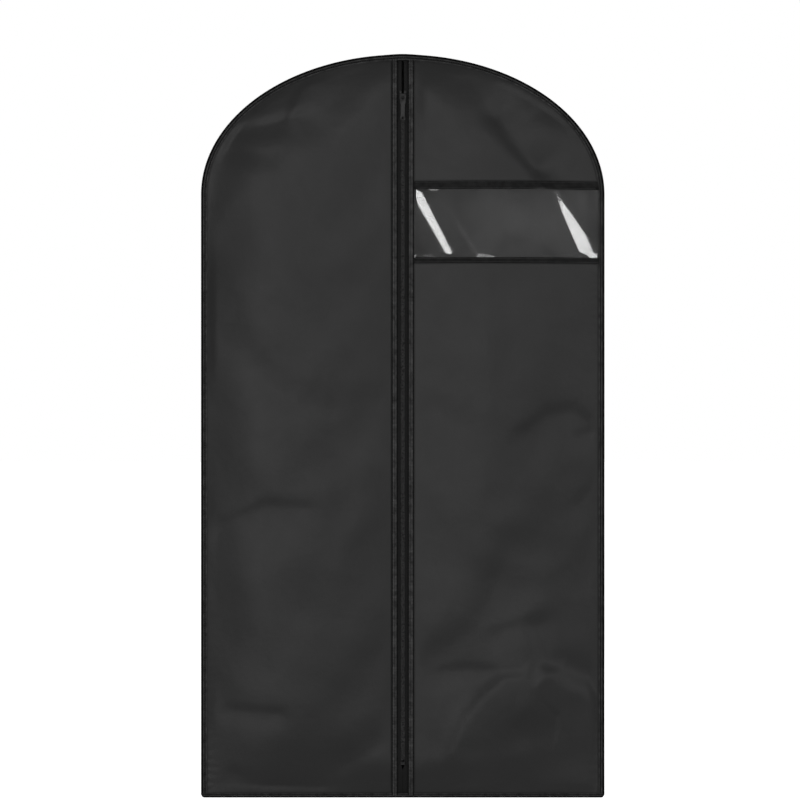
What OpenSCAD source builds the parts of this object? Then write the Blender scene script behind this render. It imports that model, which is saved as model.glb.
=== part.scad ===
// Hanging garment bag: two black fabric leaves sewn together round an arched outline,
// closed by a full-length coil zip down the front, with a clear window in the right leaf.
// Frame: origin at the hanger-hook slot in the crown, +Z up, -Y the front. Millimetres.

/* [Bag] */
// Width across the side bindings
bag_w = 600; // [520:10:680]
// Height from hem to crown
bag_h = 1105; // [905:10:1405]
// Height of the elliptical arch above the straight sides
arch_h = 208; // [150:1:212]
// How far the back leaf stands behind the side seams
back_depth = 45; // [20:1:70]
// How far the zip stands in front of the side seams
zip_depth = 14; // [8:1:20]
// How much further each front leaf puffs out beside the zip
puff = 12; // [0:1:20]
// Thickness of the fabric leaves
fabric_t = 0.8; // [0.6:0.1:1]

/* [Bindings] */
// Width of the folded tape round the sides and arch
edge_w = 9; // [7:0.5:11]
// Height of the folded tape along the hem
hem_w = 6.5; // [5:0.5:9]
// Total thickness of the folded tape
edge_t = 4; // [3.6:0.2:5]
// Rounding of the two hem corners
corner_r = 5; // [2:0.5:5]

/* [Window] */
// Distance from crown down to the top of the clear area
window_drop = 201.5; // [199:0.5:260]
// Height of the clear area
window_h = 101; // [60:1:140]
// Height of the tape sewn over the window's top edge
window_top_tape = 12; // [8:1:14]
// Height of the tape sewn over the window's bottom edge
window_bottom_tape = 8.5; // [6:0.5:12]

/* [Hook slot] */
// Length of the unsewn slot in the crown
slot_w = 56; // [44:2:64]
// How far each side of the slot stands open
slot_open = 5.5; // [4:0.5:7]

/* [Zip] */
// Width of the bare tape and teeth between the two facings
zip_gap = 15; // [14:0.5:18]
// Width of each fabric facing beside the zip
facing_w = 9; // [7:0.5:11]
// Length of one tooth and its gap
tooth_pitch = 3; // [2.6:0.1:4]
// Length of the slider body
slider_l = 13; // [11:0.5:14]
// Length of the pull tab below its hinge
tab_l = 34; // [25:1:45]

/* [Hidden] */
$fn = 32;

half_w = bag_w / 2;
hem_z = -bag_h;
clear = 0.8;                        // gap between the moving front leaves and the bindings
edge_in = edge_w + clear;           // inset of the front leaves from the outline
hem_in = hem_z + hem_w + clear;
layer = 0.1;                        // gap between two sewn layers
seam_y = 0.5;                       // distance of the front leaves' edges from the seam plane
back_seam_y = 1;                    // distance of the back leaf's outer face from the seam plane
tape_t = 0.6;
film_t = 0.4;
lip_t = 0.8;                        // thickness of the folded tape on each face
groove = edge_t / 2 - lip_t;        // half the hollow inside the folded tape

window_top = -window_drop;
window_bottom = window_top - window_h;
tuck = 1;                           // how far the fabric's cut edges sit behind the window's tapes

zip_rise = 50;                      // the zip bends from seam plane to full depth over this length
side_rise = 80;
back_rise = [170, 110];             // back leaf's rise from the sides, and from arch and hem
slot_half = slot_w / 2;
slot_fade = 45;                     // length over which the slot closes, above the straight run of the zip

zip_y = -(seam_y + zip_depth);      // plane of the teeth along the slider's whole run
slider_top = -(edge_in + zip_rise + slider_l / 2);
slider_run = bag_h + slider_top - (hem_w + clear + zip_rise + slider_l / 2);
coil_r = 1.1;                       // half the thickness of the teeth
tooth_reach = 0.8;                  // how far a tooth passes the centre line
spine = [1.7, 3.2];                 // near and far sides of the strip that carries the teeth

axle_r = 0.85;
axle_y = zip_y - 4.6;               // hinge line of the pull tab, in front of the slider

black = [0.19, 0.19, 0.19];
trim_black = [0.15, 0.15, 0.15];
metal_black = [0.1, 0.1, 0.11];

// ---- Surfaces -------------------------------------------------------------------------

// Rises from 0 to 1 with no corner at 1
function ease(q) = 1 - pow(1 - max(0, min(1, q)), 2);

// Height of the arch at x, for an outline set in by a distance
function arch(x, inset) =
    -arch_h + (arch_h - inset) * sqrt(max(0, 1 - pow(x / (half_w - inset), 2)));

// Half width of the bag at z, for an outline set in by a distance
function reach(z, inset) =
    (half_w - inset) * sqrt(max(0, 1 - pow(max(0, (z + arch_h) / (arch_h - inset)), 2)));

// Half the opening between front and back at the hook slot, closing over slot_fade below it
function slot_gap(x, z) =
    let (below = max(0, -z - edge_in - 2), along = min(1, abs(x) / slot_half))
    slot_open * pow(cos(90 * along), 2) * pow(max(0, 1 - below / slot_fade), 2);

// How full the bag is at a point: 0 on the seam, 1 well inside it
function fullness(x, z, side, ends) =
    ease((half_w - edge_in - abs(x)) / side)
    * ease((arch(x, edge_in) - z) / ends)
    * ease((z - hem_in) / ends);

// Share of the way from the facing to the side seam
function across(x) = max(0, (abs(x) - zip_gap / 2 - facing_w) / (half_w - edge_in - zip_gap / 2 - facing_w));

// Inner face of the front leaves, and outer face of the back leaf
function front_y(x, z) =
    -(seam_y + slot_gap(x, z)
      + fullness(x, z, side_rise, zip_rise) * (zip_depth + puff * 4 * across(x) * (1 - across(x))));
function back_y(x, z) =
    back_seam_y + slot_gap(x, z) + fullness(x, z, back_rise[0], back_rise[1]) * back_depth;

// ---- Grids ----------------------------------------------------------------------------

function mirrored(xs) = [for (i = [len(xs) - 1 : -1 : 0]) -xs[i]];

// Columns of a front leaf, from the zip to the side seam, closer together at the side
leaf_columns = 11;
leaf_xs = concat(
    [zip_gap / 2, zip_gap / 2 + facing_w / 2],
    [for (i = [0 : leaf_columns])
        zip_gap / 2 + facing_w + (half_w - edge_in - zip_gap / 2 - facing_w) * sin(90 * i / leaf_columns)]);
facing_xs = [leaf_xs[0], leaf_xs[1], leaf_xs[2]];

// Rows below the window, closer together at the hem, and above it, closer together at the arch.
// Sheets that lie on each other share these rows, so the gap between them is the same everywhere.
lower_rows = 16;
upper_rows = 8;
low_tape = window_bottom - window_bottom_tape;
high_tape = window_top + window_top_tape;
function leaf_top(x) = max(arch(x, edge_in), high_tape + 3);
rows_below = concat(
    [for (j = [0 : lower_rows]) hem_in + (low_tape - hem_in) * (1 - cos(90 * j / lower_rows))],
    [window_bottom - tuck]);
rows_window = [window_bottom, (window_bottom + window_top) / 2, window_top];
function rows_above(x) = concat(
    [window_top + tuck],
    [for (j = [0 : upper_rows]) high_tape + (leaf_top(x) - high_tape) * sin(90 * j / upper_rows)]);
function rows_full(x) = concat(rows_below, rows_window, rows_above(x));

// The back leaf reaches into the grooves of the bindings, where it lies flat
back_inset = 1.5;
back_columns = 9;
back_xs_right = concat(
    [for (i = [1 : 4]) slot_half * i / 4],
    [for (i = [1 : back_columns]) slot_half + (half_w - edge_in - slot_half) * sin(90 * i / back_columns)],
    [half_w - back_inset - 0.3]);
back_xs = concat(mirrored(back_xs_right), [0], back_xs_right);
back_rows = 24;
function rows_back(x) =
    let (low = hem_in, high = arch(x, edge_in))
    concat(
        [hem_z + back_inset],
        [for (j = [0 : back_rows]) low + (high - low) * (1 - cos(180 * j / back_rows)) / 2],
        [arch(x, back_inset)]);

// A closed sheet over columns xs and rows(x), between two faces y(x, z), cut to the outline's inset
module sheet(xs, rows, near, far, inset) {
    grid = [for (x = xs) [for (z = rows(x)) [sign(x) * min(abs(x), reach(z, inset)), z]]];
    m = len(grid[0]);
    n = len(xs);
    flat = [for (column = grid) for (p = column) p];
    points = concat(
        [for (p = flat) [p[0], near(p[0], p[1]), p[1]]],
        [for (p = flat) [p[0], far(p[0], p[1]), p[1]]]);
    function at(i, j, layer_n) = layer_n * n * m + i * m + j;
    function quad(a, b, c, d) = [[a, b, c], [a, c, d]];
    faces = concat(
        [for (i = [0 : n - 2]) for (j = [0 : m - 2]) each concat(
            quad(at(i, j, 0), at(i, j + 1, 0), at(i + 1, j + 1, 0), at(i + 1, j, 0)),
            quad(at(i, j, 1), at(i + 1, j, 1), at(i + 1, j + 1, 1), at(i, j + 1, 1)))],
        [for (j = [0 : m - 2]) each concat(
            quad(at(0, j, 0), at(0, j, 1), at(0, j + 1, 1), at(0, j + 1, 0)),
            quad(at(n - 1, j, 0), at(n - 1, j + 1, 0), at(n - 1, j + 1, 1), at(n - 1, j, 1)))],
        [for (i = [0 : n - 2]) each concat(
            quad(at(i, 0, 1), at(i, 0, 0), at(i + 1, 0, 0), at(i + 1, 0, 1)),
            quad(at(i, m - 1, 0), at(i, m - 1, 1), at(i + 1, m - 1, 1), at(i + 1, m - 1, 0)))]);
    polyhedron(points, faces);
}

// A sheet sewn to the front leaves: offset is its inner face's distance in front of theirs
module front_sheet(xs, rows, offset, t) {
    sheet(xs, rows,
          function (x, z) front_y(x, z) - offset - t,
          function (x, z) front_y(x, z) - offset,
          edge_in);
}

// A flat shape drawn in X and Z, given thickness from y_near to y_far
module slab(y_near, y_far) {
    translate([0, y_far, 0])
        rotate([90, 0, 0])
            linear_extrude(y_far - y_near)
                children();
}

// ---- Leaves ---------------------------------------------------------------------------

module back_panel() {
    color(black)
        sheet(back_xs, function (x) rows_back(x),
              function (x, z) back_y(x, z) - fabric_t,
              function (x, z) back_y(x, z),
              back_inset);
}

module left_front_panel() {
    color(black)
        front_sheet(mirrored(leaf_xs), function (x) rows_full(x), 0, fabric_t);
}

module right_upper_panel() {
    color(black)
        front_sheet(leaf_xs, function (x) rows_above(x), 0, fabric_t);
}

module right_lower_panel() {
    color(black)
        front_sheet(leaf_xs, function (x) rows_below, 0, fabric_t);
}

last = len(leaf_xs) - 1;

// The clear film behind the cut edges, from the facing to the side binding
module clear_window() {
    film_clear = 0.5;
    xs = [for (i = [1 : last]) min(leaf_xs[i], leaf_xs[last] - film_clear)];
    rows = concat(
        [low_tape, window_bottom - tuck],
        rows_window,
        [window_top + tuck, high_tape]);
    color([0.85, 0.87, 0.9, 0.3])
        front_sheet(xs, function (x) rows, -layer - film_t, film_t);
}

// Tape sewn over a cut edge of the window, from the facing to the side binding
module window_tape(rows) {
    tape_clear = 1;
    xs = concat(
        [leaf_xs[2] + layer],
        [for (i = [3 : last]) min(leaf_xs[i], leaf_xs[last] - tape_clear)]);
    color(trim_black)
        front_sheet(xs, function (x) rows, fabric_t + layer, fabric_t);
}

module window_top_binding() {
    window_tape([window_top, window_top + tuck, high_tape]);
}

module window_bottom_binding() {
    window_tape([low_tape, window_bottom - tuck, window_bottom]);
}

// ---- Bindings -------------------------------------------------------------------------

arch_steps = 28;

// Points of the arch from the side seam up to the end of the hook slot
function arch_points(inset) =
    let (step = acos(slot_half / (half_w - inset)) / arch_steps)
    [for (i = [0 : arch_steps])
        [(half_w - inset) * cos(step * i), -arch_h + (arch_h - inset) * sin(step * i)]];

// The band between two insets of the outline, on the right side and half the arch
module edge_band(outer, inner, low) {
    inside = arch_points(inner);
    polygon(concat(
        [[half_w - outer, low]],
        arch_points(outer),
        [for (i = [arch_steps : -1 : 0]) inside[i]],
        [[half_w - inner, low]]));
}

module edge_binding() {
    low = hem_z + hem_w + layer;
    color(trim_black)
        difference() {
            slab(-edge_t / 2, edge_t / 2) edge_band(0, edge_w, low);
            slab(-groove, groove) edge_band(lip_t, edge_w + 1, low - 1);
        }
}

module right_edge_binding() {
    edge_binding();
}

module left_edge_binding() {
    mirror([1, 0, 0]) edge_binding();
}

// A strip along the hem with both lower corners rounded
module hem_outline() {
    intersection() {
        translate([-half_w, hem_z]) square([bag_w, hem_w]);
        union() {
            translate([-half_w + corner_r, hem_z]) square([bag_w - 2 * corner_r, hem_w]);
            translate([-half_w, hem_z + corner_r]) square([bag_w, hem_w]);
            for (side = [-1, 1])
                translate([side * (half_w - corner_r), hem_z + corner_r]) circle(corner_r);
        }
    }
}

module hem_binding() {
    color(trim_black)
        difference() {
            slab(-edge_t / 2, edge_t / 2) hem_outline();
            translate([-half_w + lip_t, -groove, hem_z + lip_t])
                cube([bag_w - 2 * lip_t, 2 * groove, hem_w]);
        }
}

// ---- Hook slot ------------------------------------------------------------------------

slot_xs = [for (i = [-4 : 4]) slot_half * i / 4];

// A band seen from above that follows one side of the slot; side is -1 at the front
module slot_band(side, near, far, low, high) {
    function edge(x) = back_seam_y + slot_gap(x, 0);
    translate([0, 0, low])
        linear_extrude(high - low)
            polygon(concat(
                [for (x = slot_xs) [x, side * (edge(x) + near)]],
                [for (i = [len(slot_xs) - 1 : -1 : 0]) [slot_xs[i], side * (edge(slot_xs[i]) + far)]]));
}

module hook_slot_front_trim() {
    color(trim_black)
        slot_band(-1, -0.3, 1.6, -edge_w, 0);
}

module hook_slot_back_trim() {
    panel_clear = 0.2;
    color(trim_black)
        difference() {
            slot_band(1, -1.6, lip_t, -edge_w, 0);
            slot_band(1, -fabric_t - panel_clear, panel_clear, -edge_w - 1, -0.6);
        }
}

// ---- Zip ------------------------------------------------------------------------------

module right_zip_facing() {
    color(trim_black)
        front_sheet(facing_xs, function (x) rows_full(x), fabric_t + layer, fabric_t);
}

module left_zip_facing() {
    color(trim_black)
        front_sheet(mirrored(facing_xs), function (x) rows_full(x), fabric_t + layer, fabric_t);
}

tape_xs = [spine[0] + 0.2, zip_gap / 2, zip_gap / 2 + facing_w / 2];
tape_back = layer + film_t + layer + tape_t;      // behind the leaf and behind the window

// The tape ends one row above the hem, where the two leaves are far enough apart
function rows_tape(x) =
    let (rows = rows_full(x))
    [for (j = [1 : len(rows) - 1]) rows[j]];

module right_zip_tape() {
    color(trim_black)
        front_sheet(tape_xs, function (x) rows_tape(x), -tape_back, tape_t);
}

module left_zip_tape() {
    color(trim_black)
        front_sheet(mirrored(tape_xs), function (x) rows_tape(x), -tape_back, tape_t);
}

teeth_top = slider_top - 1;
teeth_bottom = slider_top - slider_run - slider_l / 2 - 1;
tooth_count = floor((teeth_top - teeth_bottom) / tooth_pitch);
tooth_gap = 0.15;

// One row of teeth on its spine; phase shifts it so that the two rows mesh
module teeth_row(phase) {
    root = tooth_pitch / 2 - tooth_gap;
    tip = root * 0.7;
    function tooth_points(z) = [
        [spine[0], z - root / 2], [-tooth_reach, z - tip / 2],
        [-tooth_reach, z + tip / 2], [spine[0], z + root / 2]];
    slab(zip_y - coil_r, zip_y + coil_r - tape_t)
        polygon(concat(
            [for (i = [0 : tooth_count - 1])
                each tooth_points(teeth_bottom + tooth_pitch * (i + phase))],
            [[spine[0], teeth_top], [spine[1], teeth_top],
             [spine[1], teeth_bottom], [spine[0], teeth_bottom]]));
}

module right_zip_teeth() {
    color(metal_black) teeth_row(0.75);
}

module left_zip_teeth() {
    color(metal_black) mirror([1, 0, 0]) teeth_row(0.25);
}

// A metal clip pressed over the tape's edge at the head of the teeth
module top_stop() {
    stop_l = 4;
    color(metal_black)
        translate([spine[0] + 0.2, zip_y - 1.6, slider_top + slider_l / 2 + 0.5])
            cube([3, 1.6 + tape_t - layer, stop_l]);
}

module right_top_stop() {
    top_stop();
}

module left_top_stop() {
    mirror([1, 0, 0]) top_stop();
}

module bottom_stop() {
    stop = [7, 2.4, 5];
    color(metal_black)
        translate([-stop[0] / 2, zip_y - 2, teeth_bottom - clear - stop[2]])
            cube(stop);
}

// Outline of a slider plate: wide at the shoulders and narrower at the tail
module slider_plate() {
    shoulder = 4.9;
    tail = 3.9;
    polygon([
        [-tail, -slider_l / 2], [tail, -slider_l / 2], [shoulder, 1.5], [shoulder, slider_l / 2 - 1.5],
        [shoulder - 1.5, slider_l / 2], [-shoulder + 1.5, slider_l / 2],
        [-shoulder, slider_l / 2 - 1.5], [-shoulder, 1.5]]);
}

plate_t = 1;
channel = 1.6;                      // half the hollow between the slider's plates

module zip_slider() {
    neck_w = 1.8;
    bridge = [2.4, 2];              // thickness and radius of the eye that holds the pull tab
    flange = [0.7, 0.6];            // width and depth of the lips that keep the teeth in
    color(metal_black)
        translate([0, zip_y, slider_top])
            difference() {
                union() {
                    slab(-channel - plate_t, -channel) slider_plate();
                    slab(channel, channel + plate_t) slider_plate();
                    translate([-neck_w / 2, -channel - plate_t / 2, 2.5])
                        cube([neck_w, 2 * channel + plate_t, slider_l / 2 - 3]);
                    for (side = [-1, 1])
                        translate([side * 3.85 - flange[0] / 2, -channel - plate_t / 2, -slider_l / 2])
                            cube([flange[0], plate_t / 2 + flange[1], slider_l / 2 + 1]);
                    translate([-bridge[0] / 2, axle_y - zip_y, -bridge[1]])
                        cube([bridge[0], zip_y - axle_y - channel - plate_t / 2, 2 * bridge[1]]);
                    translate([-bridge[0] / 2, axle_y - zip_y, 0])
                        rotate([0, 90, 0])
                            cylinder(h = bridge[0], r = bridge[1]);
                }
                translate([-bridge[0], axle_y - zip_y, 0])
                    rotate([0, 90, 0])
                        cylinder(h = 2 * bridge[0], r = axle_r + 0.05);
            }
}

module pull_tab() {
    arm = [1.2, 1.4];               // width and thickness of each arm beside the slider's bridge
    arm_x = 1.5;
    tab_w = 8;
    blade_top = -4.5;               // where the arms join the blade
    hole_r = 1.8;
    color(metal_black)
        translate([0, axle_y, slider_top]) {
            translate([-arm_x - arm[0] / 2, 0, 0])
                rotate([0, 90, 0])
                    cylinder(h = 2 * arm_x + arm[0], r = axle_r);
            for (side = [-1, 1])
                translate([side * (arm_x + arm[0] / 2) - arm[0] / 2, 0, 0]) {
                    rotate([0, 90, 0]) cylinder(h = arm[0], r = arm[1]);
                    translate([0, -arm[1] / 2, blade_top - 1]) cube([arm[0], arm[1], 1 - blade_top]);
                }
            slab(-arm[1] / 2, arm[1] / 2)
                difference() {
                    union() {
                        translate([-tab_w / 2, blade_top - 4]) square([tab_w, 4]);
                        translate([-tab_w / 2 + 1, -tab_l + 2]) square([tab_w - 2, tab_l + blade_top - 4]);
                        translate([0, -tab_l + tab_w / 2]) circle(tab_w / 2);
                    }
                    translate([0, -tab_l + tab_w / 2]) circle(hole_r);
                }
        }
}

// ---- Assembly -------------------------------------------------------------------------

back_panel();
left_front_panel();
right_upper_panel();
right_lower_panel();
clear_window();
window_top_binding();
window_bottom_binding();
left_edge_binding();
right_edge_binding();
hem_binding();
hook_slot_front_trim();
hook_slot_back_trim();
left_zip_facing();
right_zip_facing();
left_zip_tape();
right_zip_tape();
left_zip_teeth();
right_zip_teeth();
left_top_stop();
right_top_stop();
bottom_stop();
zip_slider();
pull_tab();
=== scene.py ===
"""Looks for the hanging garment bag: cloth leaves, folded tapes, zip, clear window, light and camera.

Lengths are in metres. +Z is up, -Y is the front, and the origin is the hook slot in the crown.
"""

import math

import bmesh
import bpy
import numpy as np
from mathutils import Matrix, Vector


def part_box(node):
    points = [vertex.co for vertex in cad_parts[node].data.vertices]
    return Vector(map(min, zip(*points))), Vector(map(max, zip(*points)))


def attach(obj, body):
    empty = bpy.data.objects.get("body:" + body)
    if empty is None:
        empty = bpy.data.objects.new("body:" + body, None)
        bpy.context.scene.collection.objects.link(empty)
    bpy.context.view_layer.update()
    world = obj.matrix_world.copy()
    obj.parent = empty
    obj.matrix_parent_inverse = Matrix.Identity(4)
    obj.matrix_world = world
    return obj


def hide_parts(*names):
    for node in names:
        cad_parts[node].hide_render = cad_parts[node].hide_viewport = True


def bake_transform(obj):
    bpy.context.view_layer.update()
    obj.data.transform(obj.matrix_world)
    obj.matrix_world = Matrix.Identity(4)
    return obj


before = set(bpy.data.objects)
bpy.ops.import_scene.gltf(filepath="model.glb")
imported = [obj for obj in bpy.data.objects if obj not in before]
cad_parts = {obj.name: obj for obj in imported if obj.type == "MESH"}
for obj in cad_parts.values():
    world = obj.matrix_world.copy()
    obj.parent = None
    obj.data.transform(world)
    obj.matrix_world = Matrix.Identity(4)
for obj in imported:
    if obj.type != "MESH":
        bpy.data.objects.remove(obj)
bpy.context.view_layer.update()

MM = 0.001

# ---- Sizes taken from the frame --------------------------------------------------------

HALF_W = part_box("right_edge_binding")[1].x
HEM_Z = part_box("hem_binding")[0].z
HEM_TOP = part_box("hem_binding")[1].z
LEAF_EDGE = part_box("right_lower_panel")[1].x
ZIP_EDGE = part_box("right_lower_panel")[0].x
FACING_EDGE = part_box("right_zip_facing")[1].x
TEETH_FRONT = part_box("right_zip_teeth")[0].y
TEETH_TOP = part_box("right_zip_teeth")[1].z
TEETH_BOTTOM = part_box("right_zip_teeth")[0].z
WINDOW_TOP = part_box("window_top_binding")[0].z
WINDOW_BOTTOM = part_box("window_bottom_binding")[1].z
TOP_TAPE_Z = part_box("window_top_binding")[1].z
BOTTOM_TAPE_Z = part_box("window_bottom_binding")[0].z
SLOT_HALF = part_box("hook_slot_front_trim")[1].x
STOP_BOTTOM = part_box("bottom_stop")[0].z

HEM_W = HEM_TOP - HEM_Z
EDGE_IN = HALF_W - LEAF_EDGE

# Sizes the boxes don't give: they are part.scad's own values
ARCH_H = 208 * MM
EDGE_W = 9 * MM
SEAM_Y = 0.5 * MM
ZIP_DEPTH = 14 * MM
PUFF = 12 * MM
BACK_DEPTH = 45 * MM
SIDE_RISE = 80 * MM               # over this width the front swells from the side seam
ZIP_RISE = 50 * MM                # over this height it swells from the hem and the arch beside the zip
BACK_SIDE_RISE = 170 * MM
BACK_END_RISE = 110 * MM
SLOT_OPEN = 5.5 * MM
SLOT_FADE = 45 * MM
HEM_IN = HEM_TOP + 0.8 * MM

# Sizes of the visual model alone
OPEN_RISE = 120 * MM              # away from the zip the front swells more gently from the hem and the arch
PUFF_RISE = 300 * MM
CLOTH_T = 0.6 * MM
TAPE_T = 0.7 * MM
TAPE_GAP = 0.1 * MM               # between the cloth and a tape sewn on it
TUCK_IN = 6.5 * MM                # the leaves' edges end this far inside the outline, within the folded tape
TOP_TUCK = 4.5 * MM               # and this far inside it under the crown's narrower tape


# ---- The bag's surfaces, close to part.scad's ------------------------------------------

def ease(q):
    q = np.clip(q, 0, 1)
    return 1 - (1 - q) ** 2


def smooth(q):
    q = np.clip(q, 0, 1)
    return q * q * (3 - 2 * q)


def arch(x, inset):
    """Height of the arch at x, for a line this far inside the outline."""
    share = np.clip(1 - (x / (HALF_W - inset)) ** 2, 0, 1)
    return -ARCH_H + (ARCH_H - inset) * np.sqrt(share)


def reach(z, inset):
    """Half the width at height z, for a line this far inside the outline."""
    share = np.clip((z + ARCH_H) / (ARCH_H - inset), 0, 1)
    return (HALF_W - inset) * np.sqrt(1 - share**2)


def slot_bulge(x):
    """How far the front and the back of the crown stand off at the hook slot."""
    along = np.clip(np.abs(x) / SLOT_HALF, 0, 1)
    return SLOT_OPEN * np.cos(math.pi / 2 * along) ** 2


def slot_gap(x, z):
    """The same bulge lower down, where it fades out."""
    below = np.maximum(0, -z - EDGE_IN - 2 * MM)
    return slot_bulge(x) * np.clip(1 - below / SLOT_FADE, 0, 1) ** 2


def front_base(x, z):
    """Y of the front leaves' inner face, without wrinkles.

    Round the window the leaf is stretched straighter from the zip to the side seam.
    """
    from_side = LEAF_EDGE - np.abs(x)
    from_arch = arch(x, EDGE_IN) - z
    from_hem = z - HEM_IN
    across = np.clip((np.abs(x) - FACING_EDGE) / (LEAF_EDGE - FACING_EDGE), 0, 1)
    puff = PUFF * 4 * across * (1 - across) * ease(from_hem / PUFF_RISE)
    loose = ease(from_side / SIDE_RISE) * (ZIP_DEPTH + puff)
    taut = ZIP_DEPTH * (1 - across**2) + puff
    from_window = np.maximum(z - TOP_TAPE_Z, BOTTOM_TAPE_Z - z)
    near = np.where(x > 0, smooth(1 - from_window / (90 * MM)), 0)
    rise = ZIP_RISE + (OPEN_RISE - ZIP_RISE) * smooth((np.abs(x) - FACING_EDGE) / (100 * MM))
    ends = ease(from_arch / rise) * ease(from_hem / rise)
    return -(SEAM_Y + slot_gap(x, z) + ends * (loose + (taut - loose) * near))


def back_base(x, z):
    """Y of the back leaf's outer face, without wrinkles."""
    sides = ease((LEAF_EDGE - np.abs(x)) / BACK_SIDE_RISE)
    ends = ease((arch(x, EDGE_IN) - z) / BACK_END_RISE) * ease((z - HEM_IN) / BACK_END_RISE)
    return 1 * MM + slot_gap(x, z) + sides * ends * BACK_DEPTH


# ---- Shapes of wrinkles ----------------------------------------------------------------

def fold(x, z, points, up, down, height):
    """A crease along a line of points in mm, listed from left to right; a negative height makes a valley.

    up and down are the widths of its upper and lower flanks: the narrower flank is the steeper one.
    """
    nearest = np.full_like(x, 1e9)
    facing = np.zeros_like(x)
    line = np.array(points) * MM
    for start, along in zip(line[:-1], np.diff(line, axis=0)):
        dx, dz = x - start[0], z - start[1]
        t = np.clip((dx * along[0] + dz * along[1]) / (along @ along), 0, 1)
        distance = np.hypot(dx - t * along[0], dz - t * along[1]) + 1e-9
        side = (along[0] * dz - along[1] * dx) / np.hypot(*along) / distance
        facing = np.where(distance < nearest, side, facing)
        nearest = np.minimum(distance, nearest)
    width = (down + (up - down) * (0.5 + 0.5 * facing)) * MM
    return height * MM * np.exp(-((nearest / width) ** 2))


def ripples(x, z, seed, size, waves=9):
    """Smooth irregular waves about size long, between -1 and 1."""
    rng = np.random.default_rng(seed)
    angles = rng.uniform(0, math.pi, waves)
    phases = rng.uniform(0, 2 * math.pi, waves)
    scales = rng.uniform(0.7, 1.5, waves)
    total = np.zeros_like(x)
    for angle, phase, scale in zip(angles, phases, scales):
        k = 2 * math.pi / (size * scale)
        total += np.sin(k * (x * math.cos(angle) + z * math.sin(angle)) + phase)
    return total / math.sqrt(waves)


def edge_distance(x, z):
    """Distance to the nearest sewn edge: side, arch or hem."""
    side = reach(z, EDGE_W) - np.abs(x)
    top = arch(x, EDGE_W) - z
    return np.minimum(np.minimum(side, top), z - HEM_TOP)


def seam_distance(x, z):
    """Distance to the nearest folded tape, facing or window tape."""
    facing = np.where(z < 0, np.abs(np.abs(x) - FACING_EDGE), 1)
    window = np.where(x > 0, np.minimum(np.abs(z - TOP_TAPE_Z), np.abs(z - BOTTOM_TAPE_Z)), 1)
    return np.minimum(np.minimum(np.abs(edge_distance(x, z)), facing), window)


def spaced(low, high, step):
    """Numbers from low to high, about a step apart."""
    return np.linspace(low, high, max(2, int(round((high - low) / step)) + 1))


# ---- Cloth simulation ------------------------------------------------------------------

DRAPE_STEP = 11 * MM
DRAPE_FRAMES = 24
PINNED = 14 * MM                  # the sheet is held this far in from its sewn edges
PINNED_BESIDE = 6 * MM            # and this far beside a facing or a window tape


class Drape:
    """How a leaf hangs: a simulated sheet, slightly too large for the edges it is sewn to.

    The sheet is a lattice over the leaf's outline. Its sewn edges are pinned and the rest settles under
    its own weight. Only its movement across the leaf is kept, up to a few millimetres.
    """

    def __init__(self, name, low_x, high_x, pinned, surface, cap):
        self.xs = spaced(low_x, high_x, DRAPE_STEP)
        self.zs = spaced(HEM_TOP, -EDGE_W, DRAPE_STEP)
        x, z = np.meshgrid(self.xs, self.zs, indexing="ij")
        self.moved = np.zeros_like(x)
        rest = surface(x, z)
        held = pinned(x, z)
        moved = simulate(name, np.stack([x, rest, z], -1), held) - rest
        moved = soften(soften(moved).T).T
        self.moved = cap * np.tanh(moved / cap) * (1 - held)

    def __call__(self, x, z):
        """The movement at any point: a cubic spline over the lattice."""
        i = np.clip((x - self.xs[0]) / (self.xs[1] - self.xs[0]), 1, len(self.xs) - 2.001)
        j = np.clip((z - self.zs[0]) / (self.zs[1] - self.zs[0]), 1, len(self.zs) - 2.001)
        a, b = i.astype(int), j.astype(int)
        total = np.zeros_like(i)
        for right, share_x in enumerate(spline(i - a), -1):
            for up, share_z in enumerate(spline(j - b), -1):
                total += share_x * share_z * self.moved[a + right, b + up]
        return total


def spline(t):
    """Shares of the four lattice points round a place t of the way between the middle two."""
    return (1 - t) ** 3 / 6, (3 * t**3 - 6 * t**2 + 4) / 6, (3 * t * (1 + t - t**2) + 1) / 6, t**3 / 6


def soften(rows):
    """Each row averaged with its two neighbours."""
    padded_rows = np.concatenate([rows[:1], rows, rows[-1:]])
    return (padded_rows[:-2] + 2 * rows + padded_rows[2:]) / 4


def simulate(name, points, held):
    """Y of a sheet of points after it has settled, with its held points pinned."""
    n, m = held.shape
    index = np.arange(n * m).reshape(n, m)
    faces = np.stack([index[:-1, :-1], index[1:, :-1], index[1:, 1:], index[:-1, 1:]], -1).reshape(-1, 4)
    mesh = bpy.data.meshes.new(name)
    mesh.from_pydata(points.reshape(-1, 3).tolist(), [], faces.tolist())
    obj = bpy.data.objects.new(name, mesh)
    scene = bpy.context.scene
    scene.collection.objects.link(obj)
    pins = obj.vertex_groups.new(name="held")
    pins.add(np.flatnonzero(held).tolist(), 1.0, "REPLACE")
    add_cloth(obj)
    for number in range(1, DRAPE_FRAMES + 1):
        scene.frame_set(number)
    settled = obj.evaluated_get(bpy.context.evaluated_depsgraph_get()).to_mesh()
    y = positions(settled).reshape(points.shape)[..., 1]
    bpy.data.objects.remove(obj)
    scene.frame_set(1)
    return y


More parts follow.
